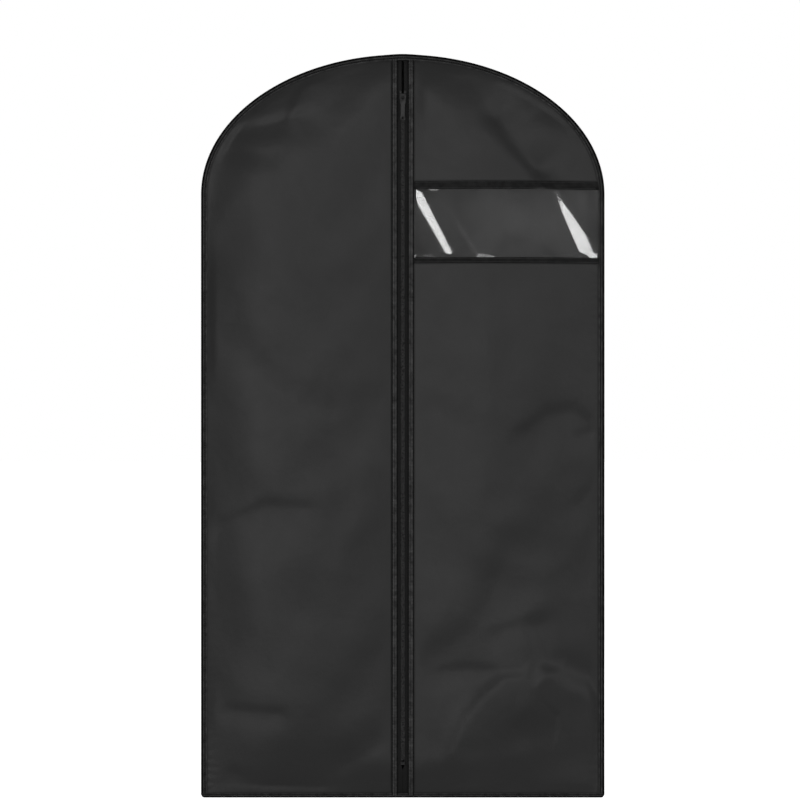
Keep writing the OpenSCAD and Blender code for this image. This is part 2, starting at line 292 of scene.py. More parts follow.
def add_cloth(obj):
    """Light crisp cloth, half a percent larger than the sheet it starts from."""
    cloth = obj.modifiers.new("cloth", "CLOTH")
    cloth.point_cache.frame_start = 1
    cloth.point_cache.frame_end = DRAPE_FRAMES
    cloth.collision_settings.use_collision = False
    settings = cloth.settings
    settings.vertex_group_mass = "held"
    settings.quality = 6
    settings.mass = 0.02
    settings.air_damping = 4
    settings.tension_stiffness = 12
    settings.compression_stiffness = 12
    settings.shear_stiffness = 4
    settings.bending_stiffness = 1.5
    settings.use_dynamic_mesh = False
    settings.shrink_min = -0.005


def positions(mesh):
    co = np.empty(len(mesh.vertices) * 3, np.float32)
    mesh.vertices.foreach_get("co", co)
    return co.reshape(-1, 3).astype(float)


def sewn_front(x, z):
    """1 where a front leaf is held: at its sewn edges, along the zip and round the window."""
    free = (edge_distance(x, z) > PINNED) & (np.abs(x) > FACING_EDGE + PINNED_BESIDE)
    window = (x > 0) & (z < TOP_TAPE_Z + PINNED_BESIDE) & (z > BOTTOM_TAPE_Z - PINNED_BESIDE)
    return np.where(free & ~window, 0.0, 1.0)


def sewn_back(x, z):
    return np.where(edge_distance(x, z) > PINNED, 0.0, 1.0)


LEFT_DRAPE = Drape("left_drape", -LEAF_EDGE, -ZIP_EDGE, sewn_front, front_base, 5 * MM)
RIGHT_DRAPE = Drape("right_drape", ZIP_EDGE, LEAF_EDGE, sewn_front, front_base, 5 * MM)
BACK_DRAPE = Drape("back_drape", -LEAF_EDGE, LEAF_EDGE, sewn_back, back_base, 8 * MM)


# ---- Creases and puckers ---------------------------------------------------------------

# Creases of the front leaves: line, width of the upper flank, width of the lower flank, height; all in mm
FRONT_FOLDS = [
    # right leaf above the window
    ([(142, -96), (166, -130), (198, -166)], 38, 15, -9.5),
    ([(186, -98), (206, -82), (236, -93)], 8, 16, -1.0),
    ([(12, -62), (62, -46)], 30, 55, 3.0),
    ([(28, -28), (95, -42)], 14, 30, -1.4),
    # right leaf below the window: slack over the middle
    ([(186, -560), (214, -538), (250, -532), (266, -543)], 12, 46, -3.2),
    ([(262, -568), (290, -561)], 8, 18, -1.6),
    ([(262, -668), (290, -640)], 12, 22, -2.2),
    ([(118, -320), (128, -420), (116, -640)], 22, 50, 1.4),
    ([(225, -785), (262, -765), (288, -720)], 16, 40, -1.6),
    # right leaf near the hem: the cloth has settled into a heap of folds
    ([(66, -888), (114, -852), (134, -815), (160, -745)], 28, 62, -4.6),
    ([(60, -918), (92, -912), (168, -917)], 8, 22, -1.5),
    ([(140, -858), (186, -843)], 8, 20, -1.3),
    ([(200, -850), (213, -896), (246, -920), (290, -938)], 22, 14, -4.2),
    (
        [(78, -1035), (98, -988), (127, -952), (152, -931), (176, -929), (194, -944), (212, -926),
         (234, -922), (266, -938), (294, -975)],
        15, 60, 5.0,
    ),
    ([(178, -1000), (206, -978), (216, -940)], 16, 40, -2.0),
    ([(100, -1056), (178, -1040)], 18, 30, 2.0),
    ([(205, -1088), (266, -1086)], 24, 9, 2.6),
    # left leaf
    ([(-165, -95), (-152, -65), (-138, -42)], 8, 30, 2.4),
    ([(-256, -116), (-200, -107), (-150, -94)], 11, 30, -3.2),
    ([(-252, -144), (-194, -153)], 8, 20, -1.5),
    ([(-286, -350), (-200, -338)], 60, 90, 3.0),
    ([(-215, -470), (-160, -520), (-110, -528)], 30, 16, -2.2),
    ([(-262, -700), (-200, -672), (-150, -676)], 12, 40, -2.4),
    ([(-92, -760), (-62, -690), (-48, -610)], 22, 46, 2.0),
    ([(-252, -975), (-188, -979)], 9, 22, -2.0),
    ([(-250, -1070), (-206, -1088), (-120, -1092)], 10, 16, -1.8),
    ([(-84, -1052), (-30, -1020)], 26, 14, -1.8),
]


def front_wrinkles(x, z):
    """How far the front cloth stands forward of its smooth surface."""
    free = smooth(edge_distance(x, z) / (16 * MM)) * smooth((np.abs(x) - FACING_EDGE) / (22 * MM))
    broad = 0.6 * MM * ripples(x, z, 3, 190 * MM) + 0.3 * MM * ripples(x, z, 8, 75 * MM)
    drape = -0.45 * np.where(x > 0, RIGHT_DRAPE(x, z), LEFT_DRAPE(x, z))
    return free * (broad + drape + 1.35 * sum(fold(x, z, *crease) for crease in FRONT_FOLDS))


ARCH_RADIUS = 260 * MM            # of a circle about as long as the arch


def puckers(x, z):
    """Small gathers beside the sewn edges."""
    d = edge_distance(x, z)
    near = np.exp(-np.clip(d, 0, None) / (9 * MM)) * smooth(d / (1.5 * MM))
    along = np.where(z > -ARCH_H, np.arctan2(z + ARCH_H, np.abs(x)) * ARCH_RADIUS, z)
    along = np.where(z - HEM_TOP < d + 1e-6, x, along)
    return 0.35 * MM * near * np.sin(2 * math.pi * along / (13 * MM) + 2 * ripples(x, z, 5, 60 * MM))


def front_surface(x, z):
    """Y of the front leaves' inner face."""
    return front_base(x, z) - front_wrinkles(x, z) - puckers(x, z)


def back_surface(x, z):
    """Y of the back leaf's outer face."""
    free = smooth(edge_distance(x, z) / (30 * MM))
    broad = 0.8 * MM * ripples(x, z, 21, 230 * MM) + 0.4 * MM * ripples(x, z, 22, 90 * MM)
    gathers = fold(x, z, [(-120, -240), (-70, -120), (-20, -40)], 30, 24, 2.2)
    gathers += fold(x, z, [(24, -40), (80, -140), (140, -260)], 22, 32, 2.0)
    return back_base(x, z) + free * (broad + BACK_DRAPE(x, z) + gathers) + puckers(x, z)


# Creases of the window film. For each: where it starts at the window's top and ends at its bottom,
# its half width at both (all in mm), and its slope at both
FILM_CREASES = [
    (20, 74, 8, 20, 0.050, 0.125),
    (50, 112, 7, 9, -0.040, -0.040),
    (176, 206, 5, 8, 0.050, 0.060),
    (222, 276, 17, 13, -0.105, -0.075),
]


def film_surface(x, z):
    """Y of the film's own surface, level with the leaves' inner face: smooth, bent along slanting creases."""
    middle = smooth(np.minimum(TOP_TAPE_Z - z, z - BOTTOM_TAPE_Z) / (15 * MM))
    down = (WINDOW_TOP - z) / (WINDOW_TOP - WINDOW_BOTTOM)
    bent = front_base(x, z)
    for start, end, top_width, bottom_width, top_slope, bottom_slope in FILM_CREASES:
        centre = (start + (end - start) * down) * MM
        width = (top_width + (bottom_width - top_width) * down) * MM
        slope = top_slope + (bottom_slope - top_slope) * down
        u = (x - centre) / width
        bent = bent - slope * width * np.tanh(u) * np.exp(-((u / 3.5) ** 2))
    return front_surface(x, z) * (1 - middle) + bent * middle


# ---- Materials -------------------------------------------------------------------------

class Nodes:
    """A short way to build a material's node tree."""

    def __init__(self, name):
        self.material = bpy.data.materials.new(name)
        self.material.use_nodes = True
        self.tree = self.material.node_tree
        self.shader = self.tree.nodes["Principled BSDF"]

    def add(self, kind, inputs=(), **settings):
        node = self.tree.nodes.new(kind)
        for key, value in settings.items():
            setattr(node, key, value)
        for key, value in dict(inputs).items():
            self.put(node.inputs[key], value)
        return node

    def put(self, socket, value):
        if isinstance(value, bpy.types.NodeSocket):
            self.tree.links.new(value, socket)
        else:
            socket.default_value = value

    def math(self, operation, a, b=0.0):
        return self.add("ShaderNodeMath", {0: a, 1: b}, operation=operation).outputs[0]

    def where(self):
        """Coordinates in the shared frame."""
        return self.add("ShaderNodeTexCoord").outputs["Object"]

    def run(self):
        """X, Y and Z of the mesh's own "run" attribute: places along and across a tape, or from a seam."""
        run = self.add("ShaderNodeAttribute", attribute_name="run").outputs["Vector"]
        return self.add("ShaderNodeSeparateXYZ", {0: run}).outputs

    def waves(self, along, length):
        """A sine along a coordinate."""
        return self.math("SINE", self.math("MULTIPLY", along, 2 * math.pi / length))

    def noise(self, scale, detail=2.0, vector=None, roughness=0.5):
        inputs = {"Scale": scale, "Detail": detail, "Roughness": roughness, "Vector": vector or self.where()}
        return self.add("ShaderNodeTexNoise", inputs).outputs["Fac"]

    def remap(self, value, low, high, start=0.0, end=1.0):
        inputs = {"Value": value, "From Min": start, "From Max": end, "To Min": low, "To Max": high}
        return self.add("ShaderNodeMapRange", inputs).outputs["Result"]

    def tint(self, value, dark, light):
        mix = self.add("ShaderNodeMix", {"Factor": value}, data_type="RGBA")
        self.put(mix.inputs[6], dark)
        self.put(mix.inputs[7], light)
        return mix.outputs[2]

    def bump(self, height, distance, strength=1.0, normal=None):
        inputs = {"Height": height, "Distance": distance, "Strength": strength}
        if normal is not None:
            inputs["Normal"] = normal
        return self.add("ShaderNodeBump", inputs).outputs["Normal"]

    def set(self, **values):
        for key, value in values.items():
            self.put(self.shader.inputs[key.replace("_", " ")], value)
        return self.material


def grey(value):
    return (value, value, value, 1)


def cloth_material():
    """Black satin taffeta: fine plain weave, small crinkles, soft sheen, with painted shade beside the seams,
    facings and window tapes.
    """
    n = Nodes("black_satin_cloth")
    where = n.where()
    # Painted shade: within about 3 mm of a seam, a facing or a window tape, colour and gloss are darkened to
    # as little as 0.55, for the shade beside the raised tapes
    painted_seam_shade = n.remap(n.run()["Z"], 0.55, 1.0, 0.4 * MM, 2.8 * MM)
    blotch = n.noise(7.0, 3.0, where)
    grain = n.noise(900.0, 2.0, where)
    worn = n.math("ADD", n.math("MULTIPLY", blotch, 0.7), n.math("MULTIPLY", grain, 0.3))
    crinkle = n.bump(n.noise(38.0, 4.0, where, 0.55), 1.4 * MM, 0.5)
    parts = n.add("ShaderNodeSeparateXYZ", {0: where}).outputs
    weave = n.math("MULTIPLY", n.waves(parts["X"], 0.9 * MM), n.waves(parts["Z"], 0.9 * MM))
    return n.set(
        Base_Color=n.tint(n.math("MULTIPLY", worn, painted_seam_shade), grey(0.008), grey(0.029)),
        Roughness=n.remap(n.noise(45.0, 3.0, where), 0.42, 0.52),
        Normal=n.bump(weave, 0.05 * MM, 0.5, crinkle),
        Specular_IOR_Level=n.math("MULTIPLY", painted_seam_shade, 0.48),
        Sheen_Weight=0.10,
        Sheen_Roughness=0.45,
    )


# Brightness of a tape at places across its width, from its outer edge (0) to its inner one (1), painted into
# its colour and gloss: painted shade where it rolls away and along its stitch lines, painted highlights on
# the raised parts between
BINDING_PAINTED_LIGHT = [
    (0.0, 0.05), (0.34, 0.08), (0.43, 0.85), (0.52, 0.85), (0.59, 0.06), (0.70, 0.05), (0.80, 0.7),
    (1.0, 0.7),
]
# A facing's painted light: painted shade at its edges, along its two stitch lines and faintly down its
# middle, painted highlights on the two strips between
FACING_PAINTED_LIGHT = [
    (0.0, 0.25), (0.13, 0.05), (0.24, 0.85), (0.38, 0.9), (0.48, 0.35), (0.60, 0.95), (0.76, 0.95),
    (0.86, 0.05), (1.0, 0.2),
]


def tape_material(name, dark, light, gloss, painted_light=None):
    """Black grosgrain tape: cross ribs along the run of the tape, slightly fuzzy."""
    n = Nodes(name)
    run = n.run()
    ribs = n.waves(run["X"], 1.3 * MM)
    height = n.math("ADD", n.math("MULTIPLY", ribs, 0.5), n.math("MULTIPLY", n.noise(1400.0, 2.0), 0.6))
    worn = n.noise(60.0, 3.0)
    tone = n.remap(n.noise(140.0, 2.0), 0.55, 1.3, 0.3, 0.7)
    # With a curve, light and shade are painted across the tape, into both its colour and its gloss
    if painted_light:
        across = n.add("ShaderNodeFloatCurve", {"Value": run["Y"]})
        set_curve(across.mapping, painted_light)
        tone = n.math("MULTIPLY", tone, across.outputs[0])
    return n.set(
        Base_Color=n.tint(n.math("MULTIPLY", worn, tone), grey(dark), grey(light)),
        Roughness=n.remap(worn, 0.60, 0.46),
        Normal=n.bump(height, 0.14 * MM, 0.7),
        Specular_IOR_Level=n.math("MULTIPLY", tone, gloss),
        Sheen_Weight=0.03,
        Sheen_Roughness=0.5,
    )


def set_curve(mapping, points):
    curve = mapping.curves[0]
    while len(curve.points) < len(points):
        curve.points.new(0.5, 0.5)
    for point, place in zip(curve.points, points):
        point.location = place
    mapping.update()


def thread_material():
    n = Nodes("black_polyester_thread")
    plies = n.waves(n.run()["X"], 0.5 * MM)
    return n.set(
        Base_Color=n.tint(n.noise(300.0), grey(0.012), grey(0.028)),
        Roughness=0.45,
        Normal=n.bump(plies, 0.05 * MM, 0.5),
        Sheen_Weight=0.2,
    )


def zip_tape_material():
    """Woven zip tape with ribs that run along its length."""
    n = Nodes("black_zip_tape")
    where = n.where()
    parts = n.add("ShaderNodeSeparateXYZ", {0: where}).outputs
    ribs = n.waves(parts["X"], 0.8 * MM)
    cross = n.waves(parts["Z"], 0.7 * MM)
    height = n.math("ADD", n.math("MULTIPLY", ribs, 0.7), n.math("MULTIPLY", cross, 0.3))
    return n.set(
        Base_Color=n.tint(n.noise(90.0, 3.0, where), grey(0.005), grey(0.009)),
        Roughness=0.65,
        Normal=n.bump(height, 0.1 * MM, 0.6),
        Specular_IOR_Level=0.25,
        Sheen_Weight=0.05,
    )


def coil_material():
    """Dyed nylon monofilament."""
    n = Nodes("black_nylon_coil")
    return n.set(
        Base_Color=n.tint(n.noise(200.0), grey(0.025), grey(0.045)),
        Roughness=n.remap(n.noise(500.0), 0.22, 0.34),
        Specular_IOR_Level=0.6,
        Normal=n.bump(n.noise(2500.0), 0.02 * MM, 0.4),
    )


def enamel_material():
    """Black enamel on die-cast metal, rubbed a little at its edges."""
    n = Nodes("black_enamel")
    edge = n.remap(n.add("ShaderNodeNewGeometry").outputs["Pointiness"], 0.0, 1.0, 0.53, 0.6)
    return n.set(
        Base_Color=n.tint(n.math("MULTIPLY", edge, n.noise(400.0, 3.0)), grey(0.006), grey(0.06)),
        Roughness=n.remap(n.noise(250.0, 3.0), 0.34, 0.50),
        Normal=n.bump(n.noise(900.0), 0.03 * MM, 0.3),
        Specular_IOR_Level=0.35,
    )


def film_material():
    """Clear soft vinyl: see-through, glossy, with a faint milky haze."""
    n = Nodes("clear_vinyl_film")
    n.tree.nodes.remove(n.shader)
    where = n.where()
    normal = n.bump(n.noise(9.0, 1.0, where), 0.6 * MM, 0.25)
    haze = n.remap(n.noise(14.0, 3.0, where), 0.01, 0.05, 0.3, 0.8)
    fresnel = n.add("ShaderNodeFresnel", {"IOR": 1.5, "Normal": normal}).outputs[0]
    cover = n.math("ADD", n.math("MULTIPLY", fresnel, 0.9), haze)
    clear = n.add("ShaderNodeBsdfTransparent", {"Color": grey(0.96)}).outputs[0]
    shine = {"Color": grey(1.0), "Roughness": 0.06, "Normal": normal}
    gloss = n.add("ShaderNodeBsdfGlossy", shine).outputs[0]
    milky = n.add("ShaderNodeBsdfDiffuse", {"Color": grey(0.7)}).outputs[0]
    skin = n.add("ShaderNodeMixShader", {0: n.math("DIVIDE", haze, cover), 1: gloss, 2: milky}).outputs[0]
    film = n.add("ShaderNodeMixShader", {0: cover, 1: clear, 2: skin}).outputs[0]
    n.put(n.tree.nodes["Material Output"].inputs["Surface"], film)
    return n.material


MATERIALS = {
    "cloth": cloth_material(),
    "binding": tape_material("black_grosgrain_binding", 0.005, 0.030, 0.75, BINDING_PAINTED_LIGHT),
    "tape": tape_material("black_window_tape", 0.004, 0.007, 0.22),
    "facing": tape_material("black_zip_facing", 0.005, 0.034, 0.80, FACING_PAINTED_LIGHT),
    "thread": thread_material(),
    "zip_tape": zip_tape_material(),
    "coil": coil_material(),
    "enamel": enamel_material(),
    "film": film_material(),
}


# ---- Mesh building ---------------------------------------------------------------------

def make_object(name, points, faces, material, run=None, sharp=None):
    """A smooth-shaded mesh in the scene; edges that bend more than sharp degrees stay crisp."""
    mesh = bpy.data.meshes.new(name)
    mesh.from_pydata(points.reshape(-1, 3).tolist(), [], faces)
    mesh.materials.append(MATERIALS[material])
    mesh.shade_smooth()
    if sharp:
        mesh.set_sharp_from_angle(angle=math.radians(sharp))
    if run is not None:
        attribute = mesh.attributes.new("run", "FLOAT_VECTOR", "POINT")
        attribute.data.foreach_set("vector", run.astype(np.float32).ravel())
    return add_to_scene(name, mesh)


def add_to_scene(name, data):
    obj = bpy.data.objects.new(name, data)
    bpy.context.scene.collection.objects.link(obj)
    return obj


def outward(obj):
    """Turns the faces of a closed mesh outward."""
    bm = bmesh.new()
    bm.from_mesh(obj.data)
    bmesh.ops.recalc_face_normals(bm, faces=bm.faces)
    bm.to_mesh(obj.data)
    bm.free()


def sheet_faces(n, m):
    """Faces of a closed sheet between two grids of n columns and m rows."""
    index = np.arange(n * m).reshape(n, m)
    a, b, c, d = index[:-1, :-1], index[:-1, 1:], index[1:, 1:], index[1:, :-1]
    top = np.stack([a, d, c, b], -1).reshape(-1, 4)
    bottom = np.stack([a, b, c, d], -1).reshape(-1, 4) + n * m
    rim = np.concatenate([index[0, :], index[1:, -1], index[-1, -2::-1], index[-2:0:-1, 0]])
    following = np.roll(rim, -1)
    sides = np.stack([rim, following, following + n * m, rim + n * m], -1)
    return np.concatenate([top, bottom, sides])


def tube_faces(rings, around):
    """Faces of a closed tube through rings of points: its quads, and the caps at its two ends."""
    index = np.arange(rings * around).reshape(rings, around)
    following = np.roll(index, -1, axis=1)
    quads = np.stack([index[:-1], following[:-1], following[1:], index[1:]], -1).reshape(-1, 4)
    return quads.tolist(), [index[0][::-1].tolist(), index[-1].tolist()]


RIM_SHARE = 0.45                  # a sheet's rim is this share as thick as the rest, to look rounded


def sheet(name, xs, rows, surface, offset, thickness, material, inset, seams=seam_distance):
    """A sheet on a surface: xs are columns, rows(x) their heights, offset is towards the outside.

    A negative thickness makes the sheet grow towards +Y, as the back leaf does.
    """
    grid = np.stack([np.stack([np.full(len(rows(x)), x), rows(x)], -1) for x in xs])
    x, z = grid[..., 0], grid[..., 1]
    x = np.sign(x) * np.minimum(np.abs(x), reach(z, inset))
    y = surface(x, z) - offset
    full = np.full_like(x, 1.0)
    full[0, :] = full[-1, :] = full[:, 0] = full[:, -1] = RIM_SHARE
    outer = np.stack([x, y - thickness * (0.5 + 0.5 * full), z], -1)
    inner = np.stack([x, y - thickness * (0.5 - 0.5 * full), z], -1)
    faces = sheet_faces(*x.shape)
    if (xs[-1] < xs[0]) != (thickness < 0):
        faces = faces[:, ::-1]
    across = (np.abs(x) - ZIP_EDGE) / (FACING_EDGE - ZIP_EDGE)
    # Y is the place across a facing, where its painted light and shade are set; Z is the distance to a seam,
    # which sets the cloth's painted shade
    run = np.stack([z, across, np.abs(seams(x, z))], -1)
    return make_object(name, np.stack([outer, inner]), faces.tolist(), material, np.stack([run, run]), 50)


def leaf_columns(start, end, count):
    """Columns that get closer together towards the side, where the arch is steep."""
    u = np.linspace(0, 1, count + 1)
    return start + (end - start) * (1 - (1 - u) ** 1.35)


def rows_between(low, high, count):
    """Heights from low to high, closer together towards both ends."""
    t = np.linspace(0, 1, count)
    return low + (high - low) * (t - 0.6 * np.sin(2 * math.pi * t) / (2 * math.pi))


# ---- Riding on the frame ---------------------------------------------------------------


def bend_with_flap(obj):
    """Bakes the piece's transform into its mesh and reads its points; nothing bends it here."""
    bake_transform(obj)
    co = positions(obj.data)


def settle(obj, body, slot, *nodes):
    """Puts a finished piece on its body and hides the CAD nodes it stands for; a flap's piece only has its
    transform baked. slot is not used.
    """
    if body.endswith("_flap"):
        bend_with_flap(obj)
    else:
        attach(obj, body)
    if nodes:
        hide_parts(*nodes)


# ---- Leaves, facings, window -----------------------------------------------------------

LEAF_BOTTOM = HEM_Z + 3.5 * MM


def arch_top(x):
    inset = TOP_TUCK if abs(x) < SLOT_HALF else TUCK_IN
    return max(float(arch(x, inset)), TOP_TAPE_Z + 4 * MM)


def full_rows(x):
    return rows_between(LEAF_BOTTOM, arch_top(x), 300)


def lower_rows(x):
    return rows_between(LEAF_BOTTOM, WINDOW_BOTTOM - 1 * MM, 215)


def upper_rows(x):
    return rows_between(WINDOW_TOP + 1 * MM, arch_top(x), 60)


def make_front_leaves():
    beside_facing = FACING_EDGE + np.array([-1, -0.2, 0.5, 1.4, 2.6]) * MM
    xs = np.sort(np.concatenate([leaf_columns(ZIP_EDGE, HALF_W - TUCK_IN, 72), beside_facing]))
    for name, node, flap, columns, rows in (
        ("left_leaf", "left_front_panel", "left_flap", -xs, full_rows),
        ("right_upper_leaf", "right_upper_panel", "right_flap", xs, upper_rows),
        ("right_lower_leaf", "right_lower_panel", "right_flap", xs, lower_rows),
    ):
        leaf = sheet(name, columns, rows, front_surface, 0, CLOTH_T, "cloth", TUCK_IN)
        settle(leaf, flap, "cloth", node)


BACK_TUCK = 2.5 * MM


def back_rows(x):
    top = max(float(arch(x, BACK_TUCK)), -ARCH_H + 20 * MM)
    return rows_between(HEM_Z + BACK_TUCK, top, 290)


def make_back_leaf():
    half = leaf_columns(0, HALF_W - BACK_TUCK, 76)
    xs = np.concatenate([-half[:0:-1], half])
    back = sheet("back_leaf", xs, back_rows, back_surface, 0, -CLOTH_T, "cloth", BACK_TUCK, edge_distance)
    settle(back, "shell", "cloth", "back_panel")


def padded(x, z):
    """The facing is folded over, so it stands highest in its middle and dips along its two stitch lines."""
    t = np.clip((np.abs(x) - ZIP_EDGE) / (FACING_EDGE - ZIP_EDGE), 0, 1)
    dips = 0.5 * MM * (np.exp(-(((t - 0.15) / 0.07) ** 2)) + np.exp(-(((t - 0.85) / 0.07) ** 2)))
    ruffle = 0.38 * MM * np.sin(2 * math.pi * z / (4.7 * MM) + 3 * np.sin(z / (37 * MM)))
    return front_surface(x, z) - (0.9 * MM + ruffle) * np.sin(math.pi * t) ** 0.5 + dips


def facing_rows(x):
    return spaced(LEAF_BOTTOM, arch_top(x), 1.15 * MM)


def zip_tape_rows(x):
    return full_rows(x)[1:]


ZIP_TAPE = (1.9 * MM, 12 * MM)    # how far its two edges are from the middle of the zip
ZIP_TAPE_BEHIND = 1.2 * MM        # from the leaf's inner face to the tape's
ZIP_TAPE_T = 0.6 * MM


def make_facings_and_zip_tapes():
    facing_xs = np.linspace(ZIP_EDGE, FACING_EDGE, 21)
    tape_xs = np.linspace(*ZIP_TAPE, 9)
    for side, name in ((-1, "left"), (1, "right")):
        facing = sheet(f"{name}_facing", side * facing_xs, facing_rows, padded, CLOTH_T + TAPE_GAP, TAPE_T,
                       "facing", TUCK_IN)
        settle(facing, f"{name}_flap", "binding_tape", f"{name}_zip_facing")
        tape = sheet(f"{name}_zip_tape_cloth", side * tape_xs, zip_tape_rows, front_surface,
                     -ZIP_TAPE_BEHIND, ZIP_TAPE_T, "zip_tape", TUCK_IN)
        close_below_stop(tape)
        settle(tape, f"{name}_flap", "binding_tape", f"{name}_zip_tape")


def close_below_stop(tape):
    """The two zip tapes are sewn edge to edge below the bottom stop."""
    inner, outer = ZIP_TAPE
    for vertex in tape.data.vertices:
        share = float(smooth((STOP_BOTTOM - vertex.co.z) / (9 * MM)))
        edge = 1 - (abs(vertex.co.x) - inner) / (outer - inner)
        vertex.co.x -= math.copysign((inner - 0.15 * MM) * share * max(0.0, edge), vertex.co.x)


FILM_BEHIND = 0.5 * MM            # from the leaf's inner face to the film's
FILM_T = 0.4 * MM


def film_rows(x):
    return spaced(BOTTOM_TAPE_Z, TOP_TAPE_Z, 2.5 * MM)


def top_tape_rows(x):
    return np.linspace(WINDOW_TOP, TOP_TAPE_Z, 9)


def bottom_tape_rows(x):
    return np.linspace(BOTTOM_TAPE_Z, WINDOW_BOTTOM, 9)


def make_window():
    xs = leaf_columns(FACING_EDGE - 4 * MM, HALF_W - TUCK_IN - 1 * MM, 90)
    film = sheet("window_film", xs, film_rows, film_surface, -FILM_BEHIND, FILM_T, "film", TUCK_IN)
    settle(film, "right_flap", "clear_film", "clear_window")
    xs = leaf_columns(FACING_EDGE + 0.1 * MM, HALF_W - EDGE_W + 1 * MM, 72)
    for name, rows in (("top", top_tape_rows), ("bottom", bottom_tape_rows)):
        tape = sheet(f"window_{name}_tape", xs, rows, front_surface, CLOTH_T + TAPE_GAP, TAPE_T, "tape",
                     EDGE_W - 1 * MM)
        settle(tape, "right_flap", "binding_tape", f"window_{name}_binding")


# ---- Folded tapes round the outline ----------------------------------------------------

# Half of the folded tape's section: share of the width inwards, and height in mm above the seam plane
FOLD_OUTSIDE = [
    (0.0, 0.5), (0.04, 1.05), (0.12, 1.5), (0.26, 1.9), (0.40, 2.05), (0.50, 1.95), (0.58, 1.4),
    (0.64, 1.1), (0.70, 1.2), (0.77, 1.5), (0.87, 1.6), (0.96, 1.5), (1.0, 1.2),
]
FOLD_INSIDE = [(0.99, 0.85), (0.6, 0.75), (0.4, 1.0), (0.2, 1.0), (0.14, 0.5)]
STITCH_SHARE = 0.64               # where the stitch channel runs across the folded tape
STITCH_Y = 1.12 * MM              # and the height of its floor

# The crown's two tapes: how far their middles are from the slot's bulge, how thick they are beside the
# other tapes, and the height of their stitch channels' floor
SLOT_FRONT = (-1.3 * MM, 0.62, 0.69 * MM)
SLOT_BACK = (0.75 * MM, 0.55, 0.62 * MM)


def folded_tape(name, outer, inner, centre, node, thin=1.0):
    """Sweeps the folded section between an outer and an inner line in the X-Z plane."""
    half = FOLD_OUTSIDE + FOLD_INSIDE
    section = np.array(half + [(share, -height) for share, height in reversed(half)])
    share, height = section[:, 0], section[:, 1]
    steps = lengths_along(outer)
    pucker = 0.16 * np.sin(2 * math.pi * steps / (7.3 * MM) + 1.7 * np.sin(steps / (31 * MM)))
    pucker *= 0.6 + 0.4 * np.sin(steps / (53 * MM))
    lively = 1 + pucker[:, None] * (np.abs(height) > 1.5)
    flat = outer[:, None, :] + share[None, :, None] * (inner - outer)[:, None, :]
    y = centre[:, None] + height * MM * thin * lively
    points = np.stack([flat[..., 0], y, flat[..., 1]], -1)
    # Y is the share across the tape, where the binding's painted light and shade are set
    run = np.stack(np.broadcast_arrays(steps[:, None], share, 0.0), -1)
    quads, caps = tube_faces(*y.shape)
    obj = make_object(name, points, quads + caps, "binding", run, 55)
    outward(obj)
    settle(obj, "shell", "binding_tape", node)


def lengths_along(line):
    """How far along a line each of its points is."""
    return np.r_[0, np.cumsum(np.linalg.norm(np.diff(line, axis=0), axis=1))]


def outline(inset, side):
    """Points from the hem up one side and over the arch to the slot, as X and Z."""
    straight = spaced(HEM_TOP + 0.15 * MM, -ARCH_H, 2.4 * MM)[:-1]
    last = math.acos(SLOT_HALF / (HALF_W - inset))
    turn = np.linspace(0, last, 200)
    x = np.r_[np.full(len(straight), HALF_W - inset), (HALF_W - inset) * np.cos(turn)]
    z = np.r_[straight, -ARCH_H + (ARCH_H - inset) * np.sin(turn)]
    return np.stack([side * x, z], -1)


def make_bindings():
    for side, name in ((-1, "left"), (1, "right")):
        outer, inner = outline(0, side), outline(EDGE_W, side)
        folded_tape(f"{name}_edge_tape", outer, inner, np.zeros(len(outer)), f"{name}_edge_binding")
    x = np.linspace(-HALF_W, HALF_W, 250)
    corner = 5 * MM
    over = np.clip((np.abs(x) - (HALF_W - corner)) / corner, 0, 1)
    rounded = corner * (1 - np.sqrt(1 - over**2)) * 0.9
    outer = np.stack([x, HEM_Z + rounded], -1)
    inner = np.stack([x, np.full_like(x, HEM_TOP)], -1)
    folded_tape("hem_tape", outer, inner, np.zeros(len(x)), "hem_binding")


def make_slot_trims():
    x = np.linspace(-SLOT_HALF, SLOT_HALF, 49)
    outer = np.stack([x, arch(x, 0.0)], -1)
    inner = np.stack([x, arch(x, EDGE_W)], -1)
    away, thin, _ = SLOT_FRONT
    folded_tape("slot_front_tape", outer, inner, away - slot_bulge(x), "hook_slot_front_trim", thin)
    away, thin, _ = SLOT_BACK
    folded_tape("slot_back_tape", outer, inner, away + slot_bulge(x), "hook_slot_back_trim", thin)


# ---- Zip -------------------------------------------------------------------------------

COIL_PITCH = 1.5 * MM
COIL_WIRE = 0.34 * MM
COIL_OUT = 1.35 * MM              # from the middle of the zip to the middle of a row
COIL_HALF_W = 1.5 * MM
COIL_HALF_D = 0.45 * MM
COIL_Y = TEETH_FRONT + 0.8 * MM


def make_coils():
    """Each row is a flattened monofilament coil; the two rows are half a pitch apart and mesh."""
    per_turn = 14
    turns = int((TEETH_TOP - TEETH_BOTTOM) / COIL_PITCH) - 1
    t = np.arange(turns * per_turn + 1) / per_turn
    across = flattened(np.cos(2 * math.pi * t), 0.6)
    deep = flattened(np.sin(2 * math.pi * t), 0.8)
    for side, name, phase in ((-1, "left", 0.0), (1, "right", 0.5)):
        x = side * (COIL_OUT + COIL_HALF_W * across)
        y = COIL_Y + COIL_HALF_D * deep
        z = TEETH_BOTTOM + COIL_PITCH * (t + phase + 0.3)
        coil = wire(f"{name}_coil", np.stack([x, y, z], -1), COIL_WIRE, 6, "coil")
        settle(coil, f"{name}_flap", "zip_teeth", f"{name}_zip_teeth")


def flattened(wave, power):
    return np.sign(wave) * np.abs(wave) ** power


